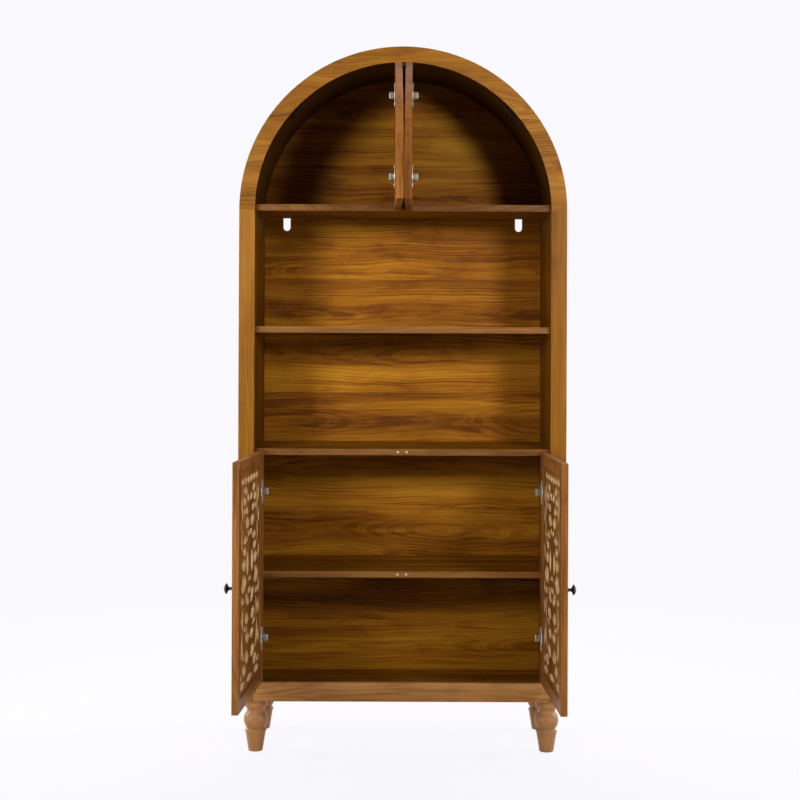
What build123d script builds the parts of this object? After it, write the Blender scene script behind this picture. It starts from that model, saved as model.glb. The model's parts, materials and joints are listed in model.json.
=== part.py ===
from build123d import *
import math
import os

# Arched storage cabinet: carcass on four turned legs, two pierced lattice doors below,
# two quarter-round doors above.  Millimetres, +Z up, front facing -Y.  The origin is on
# the floor, under the middle of the carcass.  Left is -X, as seen from the front.

# ---- Carcass ----
overall_height = 1795.0
overall_width = 832.0
carcass_depth = 320.0
side_thickness = 40.0
board_thickness = 16.0
shelf_setback = 20.0
shelf_bays = 4
leg_height = 134.0
base_rail_height = 48.0
base_rail_thickness = 16.0
foot_rebate_width = 24.0
back_thickness = 3.0
back_recess = 2.0
back_rebate_width = 10.0
back_edge_gap = 0.5
back_foot_lap = 13.0
board_fit = 0.1

# ---- Slots in the back panel for the wall straps ----
strap_slot_width = 19.0
strap_slot_depth = 34.0
strap_slot_from_middle = 316.0

# ---- Dowels between the sides and the arch ----
dowel_diameter = 10.0
dowel_length = 60.0
dowel_from_middle = 110.0
dowel_clearance = 0.1
dowel_hole_extra_length = 1.0

# ---- Turned legs ----
leg_inset = 44.0
foot_radius = 18.2
foot_chamfer = 1.5
taper_top_radius = 26.0
taper_top_height = 49.5
bead_radius = 27.4
bead_height = 7.0
groove_radius = 22.6
groove_height = 2.5
ball_radius = 30.5
ball_height = 42.0
neck_radius = 22.2
cove_height = 12.5
cove_middle_radius = 22.8
cove_top_radius = 26.8
cap_radius = 28.4
leg_bolt_diameter = 8.0
leg_bolt_in_leg = 40.0
leg_bolt_in_board = 13.0
leg_bolt_clearance = 0.1

# ---- Lower doors ----
door_thickness = 16.0
door_side_gap = 2.5
door_middle_gap = 3.0
door_bottom_gap = 1.5
door_top_reveal = 4.5
hinge_stile_width = 48.0
latch_stile_width = 36.0
door_rail_width = 38.0
tenon_length = 20.0
tenon_thickness = 5.0
tenon_width = 22.0
tenon_edge = 4.0
lower_left_opening = 94.1
lower_right_opening = 92.4

# ---- Pierced lattice ----
# Its openings are leaves.  Each is given by two tips, and by how far its edge rises on the
# left and on the right of the line from the first tip to the second; with one negative rise
# it is a crescent.  Tips are (across from the middle, down from the top) of the drawn field.
lattice_thickness = 8.0
lattice_recess = 4.0
lattice_lap = 6.0
lattice_fit = 0.3
drawn_field_width = 288.0
drawn_field_height = 507.0
paired_leaves = (
    ((3.0, 15.0), (38.5, 15.0), 10.0, 10.0),
    ((44.0, 15.0), (80.5, 15.0), 10.0, 8.5),
    ((86.0, 15.0), (123.0, 15.0), 10.0, 7.5),
    ((34.0, 43.5), (83.0, 36.5), 11.0, 10.0),
    ((4.5, 63.0), (39.5, 54.0), 10.0, 10.0),
    ((98.0, 27.0), (93.0, 113.5), 24.0, -8.0),
    ((53.0, 65.5), (95.0, 59.5), 10.5, 11.5),
    ((26.5, 92.0), (61.5, 83.0), 10.0, 10.0),
    ((65.5, 92.0), (91.5, 81.0), 7.5, 8.0),
    ((8.5, 122.0), (63.5, 113.0), 14.0, 14.0),
    ((29.5, 157.0), (94.5, 157.0), 11.0, 9.5),
    ((3.0, 147.5), (30.5, 140.0), 8.0, 8.0),
    ((101.0, 127.0), (103.0, 181.0), 19.5, -6.0),
    ((50.0, 183.5), (96.0, 179.5), 10.5, 12.5),
    ((55.0, 214.0), (109.0, 212.0), 14.5, 15.0),
    ((34.0, 186.5), (32.0, 243.5), 15.5, 15.5),
    ((49.0, 254.5), (125.0, 259.5), 21.0, 21.0),
    ((8.0, 313.5), (63.0, 285.5), 12.0, 14.5),
    ((80.5, 300.5), (117.5, 295.5), 10.0, 8.0),
    ((14.5, 351.0), (73.5, 341.0), 15.5, 13.0),
    ((89.5, 311.0), (94.5, 365.5), 20.0, -3.0),
    ((37.0, 373.5), (89.0, 365.0), 9.0, 5.5),
    ((104.0, 366.0), (79.5, 439.5), 26.5, -6.0),
    ((5.0, 392.5), (59.5, 387.5), 11.0, 15.0),
    ((12.5, 442.0), (71.5, 431.0), 15.5, 15.5),
    ((53.0, 468.0), (103.0, 458.0), 14.0, 14.0),
    ((133.0, 41.5), (133.0, 83.0), 7.0, 8.5),
    ((132.0, 95.0), (132.0, 137.0), 8.0, 11.5),
    ((133.0, 185.0), (133.0, 225.0), 7.0, 11.0),
    ((132.0, 272.0), (132.0, 312.0), 8.0, 9.5),
    ((133.0, 321.0), (133.0, 361.0), 7.0, 11.0),
    ((133.0, 396.0), (133.0, 438.0), 7.0, 11.5),
    ((111.0, 475.0), (139.5, 468.5), 8.0, 8.0),
    ((67.0, 494.0), (139.0, 494.0), 10.0, 9.0),
)
middle_leaves = (
    ((-26.0, 264.0), (26.0, 264.0), 16.0, -5.0),
    ((-30.0, 283.0), (30.0, 283.0), 8.0, 8.0),
    ((-42.0, 494.0), (42.0, 494.0), 8.5, 8.5),
)

# ---- Knobs ----
knob_radius = 12.6
knob_projection = 21.5
knob_base_radius = 5.6
knob_base_height = 1.5
knob_base_slope = 2.5
knob_neck_radius = 3.8
knob_neck_height = 10.0
knob_rim_height = 15.0
knob_rim_depth = 1.4
knob_from_edge = 18.0
knob_below_middle = 2.0
knob_screw_diameter = 4.0
knob_screw_head_diameter = 8.0
knob_screw_head_height = 2.2
knob_screw_in_knob = 10.0
knob_screw_clearance = 0.1

# ---- Upper doors ----
partition_thickness = 16.0
upper_middle_gap = 2.4
upper_meeting_gap = 1.0

# ---- Concealed cup hinges ----
# Places in a hinge are (u, w) from the cup's centre on the closed door's rear face:
# u runs away from the hinged edge and w runs into the carcass.
cup_diameter = 35.0
cup_depth = 11.5
cup_wall = 1.2
cup_clearance = 0.1
cup_from_edge = 21.5
flange_length = 62.0
flange_width = 20.0
flange_thickness = 1.2
flange_corner = 7.0
door_pivot = (-12.0, -12.0)
link_ratio = 0.73
link_pin = (-8.0, 5.9)
link_elbow = (-2.6, 15.4)
link_crown = (21.1, 15.7)
link_end = (11.6, 1.0)
link_thickness = 3.6
link_height = 16.0
link_eye_radius = 2.3
link_pin_radius = 1.2
link_pin_clearance = 0.08
link_side_clearance = 0.2
cup_stop_from_centre = 12.6
cup_stop_height = 9.0
cup_stop_width = 8.0
cheek_thickness = 1.5
arm_web = (-5.0, -3.5)
arm_web_start = 18.5
arm_end = 74.0
arm_shoulder = 11.0
plate_start = 27.0
plate_length = 42.0
plate_wing_span = 50.0
plate_wing_length = 18.0
plate_wing_thickness = 2.0
plate_wing_corner = 4.0
lower_hinge_from_top = 102.0
lower_hinge_from_bottom = 113.0
upper_hinge_high = 291.0
upper_hinge_low = 85.0

# ---- Magnets, strikes and catches ----
magnet_diameter = 6.0
magnet_depth = 10.0
magnet_from_middle = 11.0
magnet_clearance = 0.1
strike_diameter = 12.0
strike_thickness = 1.0
strike_edge = 2.0
catch_angle = 43.0
catch_length = 36.0
catch_depth = 14.0
catch_projection = 11.0
catch_round = 2.5
catch_strike_inset = 8.0

# ---- Places worked out from the sizes above ----
front_y = -carcass_depth / 2
rear_y = carcass_depth / 2
arch_radius = overall_width / 2
arch_inner_radius = arch_radius - side_thickness
spring_z = overall_height - arch_radius
clear_half_width = arch_inner_radius
shelf_front_y = front_y + shelf_setback
back_front_y = rear_y - back_recess - back_thickness
shelf_pitch = (spring_z - leg_height) / shelf_bays
lower_shelf_z = leg_height + shelf_pitch
cabinet_top_z = lower_shelf_z + shelf_pitch
middle_shelf_z = cabinet_top_z + shelf_pitch
back_joint_z = spring_z + board_thickness / 2
board_front_y = front_y + base_rail_thickness
leg_x = arch_radius - leg_inset
leg_y = carcass_depth / 2 - leg_inset

door_width = clear_half_width - door_side_gap - door_middle_gap / 2
door_bottom_z = leg_height + base_rail_height + door_bottom_gap
door_top_z = cabinet_top_z + board_thickness - door_top_reveal
door_height = door_top_z - door_bottom_z
door_edge_x = -clear_half_width + door_side_gap
door_rear_y = front_y + door_thickness
field_left_x = door_edge_x + hinge_stile_width
field_width = door_width - hinge_stile_width - latch_stile_width
field_height = door_height - 2 * door_rail_width
field_x = field_left_x + field_width / 2
field_z = (door_bottom_z + door_top_z) / 2
lattice_rear_y = door_rear_y - lattice_recess
lower_hinge_z = (door_bottom_z + lower_hinge_from_bottom, door_top_z - lower_hinge_from_top)
lower_cup_x = door_edge_x + cup_from_edge
lower_pivot = (lower_cup_x + door_pivot[0], door_rear_y + door_pivot[1])

upper_edge_x = upper_middle_gap / 2
upper_door_radius = arch_inner_radius - door_side_gap
upper_door_bottom_z = spring_z + door_bottom_gap
upper_hinge_z = (spring_z + upper_hinge_low, spring_z + upper_hinge_high)
upper_cup_x = upper_edge_x + cup_from_edge
upper_pivot = (upper_cup_x + door_pivot[0], door_rear_y + door_pivot[1])
upper_face_offset = upper_pivot[0] - (upper_pivot[1] - front_y)
upper_lean = math.degrees(
    math.asin((upper_face_offset - upper_meeting_gap / 2) / (upper_door_radius - upper_edge_x))
)
upper_opening = 90.0 + upper_lean


def block(x_range, y_range, z_range):
    """A board between two values on each axis."""
    size = [high - low for low, high in (x_range, y_range, z_range)]
    corner = [low for low, high in (x_range, y_range, z_range)]
    return Pos(*corner) * Box(*size, align=(Align.MIN, Align.MIN, Align.MIN))


def mirrored(shape):
    """The same piece on the other side of the cabinet."""
    return mirror(shape, about=Plane.YZ)


def swing(shape, pivot, degrees):
    """Turn a door piece about its upright hinge axis."""
    return Pos(*pivot, 0) * Rot(0, 0, degrees) * Pos(-pivot[0], -pivot[1], 0) * shape


def turned(outline):
    """Revolve an outline of (radius, height) points and arcs about Z."""
    return revolve(Plane.XZ * make_face(outline), axis=Axis.Z)


# ---------------------------------------------------------------- carcass

def dowel_places(x_side):
    """Dowel axes in the joint between one side and the arch."""
    x = x_side * (arch_radius - side_thickness / 2)
    return [Pos(x, y, spring_z) for y in (-dowel_from_middle, dowel_from_middle)]


def dowel(extra_radius, extra_length):
    """A dowel, or with extra size the hole for one."""
    return Cylinder(dowel_diameter / 2 + extra_radius, dowel_length + extra_length)


def side_panel():
    """Left side: thick panel rebated for the bottom board and for the back panel."""
    inner = -clear_half_width
    panel = block((-arch_radius, inner), (front_y, rear_y), (leg_height, spring_z))
    foot_rebate = block(
        (inner - foot_rebate_width, inner),
        (board_front_y, back_front_y),
        (leg_height, leg_height + board_thickness),
    )
    back_rebate = block(
        (inner - back_rebate_width, inner), (back_front_y, rear_y), (leg_height, spring_z)
    )
    holes = [
        place * dowel(dowel_clearance, dowel_hole_extra_length) for place in dowel_places(-1)
    ]
    return panel - foot_rebate - back_rebate - holes


def arch_hood():
    """Half-round top: bent laminated ring standing on both sides, rebated at the back."""
    axis_out = Pos(0, 0, spring_z) * Rot(90, 0, 0)
    ring = axis_out * (
        Cylinder(arch_radius, carcass_depth) - Cylinder(arch_inner_radius, carcass_depth)
    )
    rebate_depth = rear_y - back_front_y
    rebate = Pos(0, back_front_y + rebate_depth / 2, spring_z) * Rot(90, 0, 0) * Cylinder(
        arch_inner_radius + back_rebate_width, rebate_depth
    )
    upper_half = block(
        (-arch_radius, arch_radius), (front_y, rear_y), (spring_z, overall_height)
    )
    holes = [
        place * dowel(dowel_clearance, dowel_hole_extra_length)
        for x_side in (-1, 1)
        for place in dowel_places(x_side)
    ]
    return (ring - rebate) & upper_half - holes


def magnet_holes(shelf_z):
    """Two blind holes in a shelf's front edge, one behind each door's free corner."""
    bore = Cylinder(magnet_diameter / 2 + magnet_clearance, 2 * magnet_depth)
    return [
        magnet_place(x, shelf_z) * bore for x in (-magnet_from_middle, magnet_from_middle)
    ]


def magnet_place(x, shelf_z):
    """Axis of a magnet at a shelf's front edge, pointing out of the front."""
    return Pos(x, shelf_front_y, shelf_z + board_thickness / 2) * Rot(90, 0, 0)


def shelf(bottom_z, half_width):
    """A shelf from its set-back front edge to the back panel."""
    return block(
        (-half_width, half_width),
        (shelf_front_y, back_front_y),
        (bottom_z, bottom_z + board_thickness),
    )


def bottom_board():
    """Floor of the cabinet, let into both sides, with the holes for the leg bolts."""
    half = clear_half_width + foot_rebate_width
    board = block(
        (-half, half), (board_front_y, back_front_y), (leg_height, leg_height + board_thickness)
    )
    holes = [place * leg_bolt(leg_bolt_clearance) for place in leg_places()]
    return board - holes


def base_rail():
    """Front rail under the lower doors, flush with the front of the carcass."""
    return block(
        (-clear_half_width, clear_half_width),
        (front_y, board_front_y),
        (leg_height, leg_height + base_rail_height),
    )


def arch_partition():
    """Upright between the two arch compartments; carries the upper doors' hinges."""
    half = partition_thickness / 2
    top = spring_z + math.sqrt(arch_inner_radius**2 - half**2)
    return block((-half, half), (shelf_front_y, back_front_y), (spring_z + board_thickness, top))


def lower_back_panel():
    """Back of the straight part, with two round-ended slots in its top edge."""
    half = clear_half_width + back_rebate_width - back_edge_gap
    y_range = (back_front_y, back_front_y + back_thickness)
    panel_bottom = leg_height + board_thickness - back_foot_lap
    panel = block((-half, half), y_range, (panel_bottom, back_joint_z))
    slot_bottom = spring_z - strap_slot_depth
    radius = strap_slot_width / 2
    for x in (-strap_slot_from_middle, strap_slot_from_middle):
        panel -= block((x - radius, x + radius), y_range, (slot_bottom + radius, back_joint_z))
        panel -= (
            Pos(x, back_front_y + back_thickness / 2, slot_bottom + radius)
            * Rot(90, 0, 0)
            * Cylinder(radius, back_thickness)
        )
    return panel


def arch_back_panel():
    """Half-round back of the arch compartments."""
    radius = arch_inner_radius + back_rebate_width - back_edge_gap
    disc = Pos(0, back_front_y + back_thickness / 2, spring_z) * Rot(90, 0, 0) * Cylinder(
        radius, back_thickness
    )
    return disc & block((-radius, radius), (front_y, rear_y), (back_joint_z, overall_height))


# ---------------------------------------------------------------- legs

def leg_places():
    """Leg axes on the floor: front left, front right, rear left, rear right."""
    return [Pos(x, y, 0) for y in (-leg_y, leg_y) for x in (-leg_x, leg_x)]


def leg_bolt(extra_radius):
    """Hanger bolt that ties a leg to the bottom board, or with extra radius its hole."""
    bottom = leg_height - leg_bolt_in_leg
    length = leg_bolt_in_leg + leg_bolt_in_board
    return Pos(0, 0, bottom) * Cylinder(
        leg_bolt_diameter / 2 + extra_radius, length, align=(Align.CENTER, Align.CENTER, Align.MIN)
    )


def turned_leg():
    """One leg: tapered foot, bead, groove, ball, cove and a plain round cap."""
    bead_top = taper_top_height + bead_height
    ball_bottom = bead_top + groove_height
    ball_top = ball_bottom + ball_height
    cap_bottom = ball_top + cove_height
    outline = (
        Polyline((foot_radius, foot_chamfer), (taper_top_radius, taper_top_height))
        + ThreePointArc(
            (taper_top_radius, taper_top_height),
            (bead_radius, taper_top_height + bead_height / 2),
            (groove_radius, bead_top),
        )
        + Line((groove_radius, bead_top), (groove_radius, ball_bottom))
        + ThreePointArc(
            (groove_radius, ball_bottom),
            (ball_radius, ball_bottom + ball_height / 2),
            (neck_radius, ball_top),
        )
        + ThreePointArc(
            (neck_radius, ball_top),
            (cove_middle_radius, ball_top + cove_height / 2),
            (cove_top_radius, cap_bottom),
        )
        + Polyline(
            (cove_top_radius, cap_bottom),
            (cap_radius, cap_bottom),
            (cap_radius, leg_height),
            (0, leg_height),
            (0, 0),
            (foot_radius - foot_chamfer, 0),
            (foot_radius, foot_chamfer),
        )
    )
    return turned(outline) - leg_bolt(leg_bolt_clearance)


# ---------------------------------------------------------------- lower doors

def lattice_pocket(fit):
    """Space behind the frame's front lip that holds the lattice, larger all round by fit."""
    border = lattice_lap + fit
    return block(
        (field_left_x - border, field_left_x + field_width + border),
        (lattice_rear_y - lattice_thickness, door_rear_y),
        (door_bottom_z + door_rail_width - border, door_top_z - door_rail_width + border),
    )


def tenon(x_range, rail_outer_z, inward, extra):
    """Tenon of a rail in a stile, or with extra size its mortise."""
    low = rail_outer_z + inward * tenon_edge
    high = low + inward * tenon_width
    middle_y = front_y + door_thickness / 2
    z_range = (min(low, high) - extra, max(low, high) + extra)
    half = tenon_thickness / 2 + extra
    return block(x_range, (middle_y - half, middle_y + half), z_range)


def stile_joints(x_range, extra):
    """Both tenons, bottom and top, at one end of the rails."""
    return tenon(x_range, door_bottom_z, 1, extra) + tenon(x_range, door_top_z, -1, extra)


def hinge_stile():
    """Hinged upright of the left lower door, bored for the two hinge cups."""
    x_range = (door_edge_x, field_left_x)
    stile = block(x_range, (front_y, door_rear_y), (door_bottom_z, door_top_z))
    mortises = stile_joints((field_left_x - tenon_length, field_left_x), 0)
    bores = [place * cup_bore() for place in lower_cup_places()]
    return stile - lattice_pocket(lattice_fit) - mortises - bores


def latch_stile():
    """Free upright of the left lower door, bored for the knob's screw."""
    low = field_left_x + field_width
    x_range = (low, low + latch_stile_width)
    stile = block(x_range, (front_y, door_rear_y), (door_bottom_z, door_top_z))
    mortises = stile_joints((low, low + tenon_length), 0)
    strikes = [place * strike_disc() for place in strike_places()]
    bore = knob_place() * knob_screw(knob_screw_clearance)
    return stile - lattice_pocket(lattice_fit) - mortises - strikes - bore


def door_rail(bottom_z, outer_z, inward):
    """Rail between the two stiles, with a tenon at each end."""
    left = field_left_x
    right = field_left_x + field_width
    rail = block((left, right), (front_y, door_rear_y), (bottom_z, bottom_z + door_rail_width))
    rail += tenon((left - tenon_length, left), outer_z, inward, 0)
    rail += tenon((right, right + tenon_length), outer_z, inward, 0)
    return rail - lattice_pocket(lattice_fit)


def leaf(first_tip, second_tip, left_rise, right_rise):
    """One opening of the lattice, stretched from the drawn field to the real one."""
    stretch_x = field_width / drawn_field_width
    stretch_z = field_height / drawn_field_height
    swell = min(stretch_x, stretch_z)
    start, end = [
        (across * stretch_x, field_height / 2 - down * stretch_z)
        for across, down in (first_tip, second_tip)
    ]
    left_edge = SagittaArc(start, end, left_rise * swell)
    right_edge = SagittaArc(end, start, right_rise * swell)
    return make_face(left_edge + right_edge)


def lattice_openings():
    """All openings of the lattice as flat faces, centred on the middle of the field."""
    right = [leaf(*sizes) for sizes in paired_leaves]
    left = [mirrored(opening) for opening in right]
    return right + left + [leaf(*sizes) for sizes in middle_leaves]


def lattice_panel():
    """Thin panel pierced with leaves and crescents, held behind the frame's lip."""
    plate = block(
        (field_left_x - lattice_lap, field_left_x + field_width + lattice_lap),
        (lattice_rear_y - lattice_thickness, lattice_rear_y),
        (door_bottom_z + door_rail_width - lattice_lap, door_top_z - door_rail_width + lattice_lap),
    )
    drawing_plane = Plane((field_x, lattice_rear_y, field_z), x_dir=(1, 0, 0), z_dir=(0, -1, 0))
    return plate - [
        extrude(drawing_plane * opening, lattice_thickness) for opening in lattice_openings()
    ]


def knob_place():
    """Knob axis on the door's outer face, pointing out of the front."""
    x = door_edge_x + door_width - knob_from_edge
    return Pos(x, front_y, field_z - knob_below_middle) * Rot(90, 0, 0)


def knob():
    """Mushroom knob: small base, slim neck flaring to a domed disc."""
    rim_top = knob_rim_height + knob_rim_depth
    dome_rise = knob_projection - rim_top
    dome_radius = (knob_radius**2 + dome_rise**2) / (2 * dome_rise)
    halfway = math.asin(knob_radius / dome_radius) / 2
    dome_middle = (
        dome_radius * math.sin(halfway),
        knob_projection - dome_radius * (1 - math.cos(halfway)),
    )
    outline = (
        Polyline(
            (0, knob_projection),
            (0, 0),
            (knob_base_radius, 0),
            (knob_base_radius, knob_base_height),
            (knob_neck_radius, knob_base_height + knob_base_slope),
            (knob_neck_radius, knob_neck_height),
            (knob_radius, knob_rim_height),
            (knob_radius, rim_top),
        )
        + ThreePointArc((knob_radius, rim_top), dome_middle, (0, knob_projection))
    )
    bore = Cylinder(
        knob_screw_diameter / 2 + knob_screw_clearance,
        knob_screw_in_knob,
        align=(Align.CENTER, Align.CENTER, Align.MIN),
    )
    return knob_place() * (turned(outline) - bore)


def knob_screw(extra_radius):
    """Screw through the stile into the knob, or with extra radius its hole."""
    shank = Pos(0, 0, -door_thickness) * Cylinder(
        knob_screw_diameter / 2 + extra_radius,
        door_thickness + knob_screw_in_knob,
        align=(Align.CENTER, Align.CENTER, Align.MIN),
    )
    head = Pos(0, 0, -door_thickness) * Cylinder(
        knob_screw_head_diameter / 2 + extra_radius,
        knob_screw_head_height,
        align=(Align.CENTER, Align.CENTER, Align.MIN),
    )
    return shank + head


def strike_places():
    """Strike centres on the door's rear face, opposite the shelf magnets."""
    lower_z = lower_shelf_z + board_thickness / 2
    upper_z = min(
        cabinet_top_z + board_thickness / 2, door_top_z - strike_edge - strike_diameter / 2
    )
    return [Pos(-magnet_from_middle, door_rear_y, z) * Rot(90, 0, 0) for z in (lower_z, upper_z)]


def strike_disc():
    """Steel disc let in flush with the door's rear face."""
    return Cylinder(
        strike_diameter / 2, strike_thickness, align=(Align.CENTER, Align.CENTER, Align.MIN)
    )


# ---------------------------------------------------------------- upper doors

def upper_door():
    """Right upper door: quarter-round panel, bored for the two hinge cups."""
    disc = Pos(0, front_y + door_thickness / 2, spring_z) * Rot(90, 0, 0) * Cylinder(
        upper_door_radius, door_thickness
    )
    quarter = disc & block(
        (upper_edge_x, arch_radius), (front_y, door_rear_y), (upper_door_bottom_z, overall_height)
    )
    bores = [place * cup_bore() for place in upper_cup_places()]
    return quarter - bores - catch_place() * strike_disc()


def catch_place():
    """Strike centre on the right upper door's rear face, opposite the arch's catch."""
    angle = math.radians(catch_angle)
    radius = upper_door_radius - catch_strike_inset
    x = radius * math.cos(angle)
    z = spring_z + radius * math.sin(angle)
    return Pos(x, door_rear_y, z) * Rot(90, 0, 0)


def arch_catch():
    """Magnetic catch with round ends, seated on the right inner face of the arch."""
    body = Box(catch_projection * 2, catch_depth, catch_length)
    body = fillet(body.edges().filter_by(Axis.Y), catch_round)
    turn = Pos(0, 0, spring_z) * Rot(0, -catch_angle, 0) * Pos(arch_inner_radius, 0, 0)
    seat = Pos(0, front_y + shelf_setback + catch_depth / 2, 0)
    bore = Pos(0, front_y, spring_z) * Rot(90, 0, 0) * Cylinder(arch_inner_radius, carcass_depth)
    return (seat * turn * body) & bore


# ---------------------------------------------------------------- hinges

def lower_cup_places():
    """Cup axes on the left lower door's rear face, pointing out of the front."""
    return [Pos(lower_cup_x, door_rear_y, z) * Rot(90, 0, 0) for z in lower_hinge_z]


def upper_cup_places():
    """Cup axes on the right upper door's rear face, pointing out of the front."""
    return [Pos(upper_cup_x, door_rear_y, z) * Rot(90, 0, 0) for z in upper_hinge_z]


def cup_bore():
    """Hole in a door for a hinge cup."""
    return Cylinder(
        cup_diameter / 2 + cup_clearance,
        cup_depth + cup_clearance,
        align=(Align.CENTER, Align.CENTER, Align.MIN),
    )


def hinge_cup():
    """Cup with its flange plate and the block that stops the link; the cup points along +Z."""
    inner_radius = cup_diameter / 2 - cup_wall
    cup = Cylinder(cup_diameter / 2, cup_depth, align=(Align.CENTER, Align.CENTER, Align.MIN))
    plate = Box(
        flange_width, flange_length, flange_thickness, align=(Align.CENTER, Align.CENTER, Align.MAX)
    )
    plate = fillet(plate.edges().filter_by(Axis.Z), flange_corner)
    rim = Cylinder(cup_diameter / 2, flange_thickness, align=(Align.CENTER, Align.CENTER, Align.MAX))
    hollow = Pos(0, 0, -flange_thickness) * Cylinder(
        inner_radius,
        flange_thickness + cup_depth - cup_wall,
        align=(Align.CENTER, Align.CENTER, Align.MIN),
    )
    stop = block(
        (-inner_radius, -cup_stop_from_centre),
        (-cup_stop_width / 2, cup_stop_width / 2),
        (cup_depth - cup_wall - cup_stop_height, cup_depth - cup_wall),
    )
    return (cup + plate + rim - hollow) + stop


def bar(start, end):
    """Flat bar with round ends between two places in the hinge."""
    run = Vector(*end) - Vector(*start)
    middle = (Vector(*start) + Vector(*end)) / 2
    angle = math.degrees(math.atan2(run.Y, run.X))
    return Pos(middle) * Rot(0, 0, angle) * SlotCenterToCenter(run.length, link_thickness)


def hinge_link():
    """Goose-neck link: its eye turns on the arm's pin and its end dips into the cup."""
    outline = bar(link_pin, link_elbow) + bar(link_elbow, link_crown) + bar(link_crown, link_end)
    outline += Pos(*link_pin) * Circle(link_eye_radius)
    outline -= Pos(*link_pin) * Circle(link_pin_radius + link_pin_clearance)
    return Pos(0, 0, -link_height / 2) * extrude(outline, link_height)


def hinge_arm(face_u):
    """Channel-shaped arm, open towards the face that carries it, with the link's pin."""
    inner_half = link_height / 2 + link_side_clearance
    outer_half = inner_half + cheek_thickness
    base_u = face_u + plate_wing_thickness
    nose = Pos(*link_pin) * Circle(link_eye_radius)
    shoulder = Polygon(
        (link_pin[0] - link_eye_radius, link_pin[1]),
        (link_pin[0] + link_eye_radius, link_pin[1]),
        (arm_web[1], arm_web_start),
        (arm_web[1], arm_end),
        (base_u, arm_end),
        (base_u, arm_web_start),
        (link_pin[0] - link_eye_radius, arm_shoulder),
        align=None,
    )
    cheek = extrude(nose + shoulder, cheek_thickness)
    web = block((arm_web[0], arm_web[1]), (arm_web_start, arm_end), (-inner_half, inner_half))
    pin = Pos(*link_pin, 0) * Cylinder(link_pin_radius, 2 * inner_half)
    return Pos(0, 0, -outer_half) * cheek + Pos(0, 0, inner_half) * cheek + web + pin


def hinge_plate(face_u):
    """Winged mounting plate with the raised rail that the arm slides on."""
    wings = block(
        (face_u, face_u + plate_wing_thickness),
        (plate_start, plate_start + plate_wing_length),
        (-plate_wing_span / 2, plate_wing_span / 2),
    )
    wings = fillet(wings.edges().filter_by(Axis.X), plate_wing_corner)
    half = link_height / 2 + link_side_clearance
    rail = block((face_u, arm_web[0]), (plate_start, plate_start + plate_length), (-half, half))
    return wings + rail


# ---------------------------------------------------------------- assembly

def lower_door():
    """Pieces of the left lower door, closed."""
    return {
        "hinge_stile": hinge_stile(),
        "latch_stile": latch_stile(),
        "top_rail": door_rail(door_top_z - door_rail_width, door_top_z, -1),
        "bottom_rail": door_rail(door_bottom_z, door_bottom_z, 1),
        "lattice": lattice_panel(),
        "knob": knob(),
        "knob_screw": knob_place() * knob_screw(0),
        "strikes": Compound([place * strike_disc() for place in strike_places()]),
        "hinge_cups": Compound([place * hinge_cup() for place in lower_cup_places()]),
    }


def upper_door_pieces():
    """Pieces of the right upper door, closed."""
    return {
        "panel": upper_door(),
        "strike": catch_place() * strike_disc(),
        "hinge_cups": Compound([place * hinge_cup() for place in upper_cup_places()]),
    }


side = side_panel()
upper_shelf_half = math.sqrt(arch_inner_radius**2 - board_thickness**2) - board_fit
magnet = Cylinder(magnet_diameter / 2, magnet_depth, align=(Align.CENTER, Align.CENTER, Align.MAX))
nodes = {
    "left_side": side,
    "right_side": mirrored(side),
    "arch_hood": arch_hood(),
    "arch_dowels": Compound([place * dowel(0, 0) for s in (-1, 1) for place in dowel_places(s)]),
    "bottom_board": bottom_board(),
    "base_rail": base_rail(),
    "lower_shelf": shelf(lower_shelf_z, clear_half_width) - magnet_holes(lower_shelf_z),
    "cabinet_top": shelf(cabinet_top_z, clear_half_width) - magnet_holes(cabinet_top_z),
    "middle_shelf": shelf(middle_shelf_z, clear_half_width),
    "arch_floor": shelf(spring_z, upper_shelf_half),
    "arch_partition": arch_partition(),
    "lower_back_panel": lower_back_panel(),
    "arch_back_panel": arch_back_panel(),
    "shelf_magnets": Compound([
        magnet_place(x, z) * magnet
        for z in (lower_shelf_z, cabinet_top_z)
        for x in (-magnet_from_middle, magnet_from_middle)
    ]),
    "front_legs": Compound([place * turned_leg() for place in leg_places()[:2]]),
    "rear_legs": Compound([place * turned_leg() for place in leg_places()[2:]]),
    "leg_bolts": Compound([place * leg_bolt(0) for place in leg_places()]),
    "right_arch_catch": arch_catch(),
    "left_arch_catch": mirrored(arch_catch()),
}

lower_frames = [Pos(lower_cup_x, door_rear_y, z) for z in lower_hinge_z]
upper_frames = [Pos(upper_cup_x, door_rear_y, z) for z in upper_hinge_z]
lower_face_u = -clear_half_width - lower_cup_x
upper_face_u = partition_thickness / 2 - upper_cup_x
for kind, fixed_half in (("plates", hinge_plate), ("arms", hinge_arm)):
    lower = Compound([place * fixed_half(lower_face_u) for place in lower_frames])
    upper = Compound([place * fixed_half(upper_face_u) for place in upper_frames])
    nodes["lower_left_hinge_" + kind] = lower
    nodes["lower_right_hinge_" + kind] = mirrored(lower)
    nodes["upper_right_hinge_" + kind] = upper
    nodes["upper_left_hinge_" + kind] = mirrored(upper)

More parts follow.
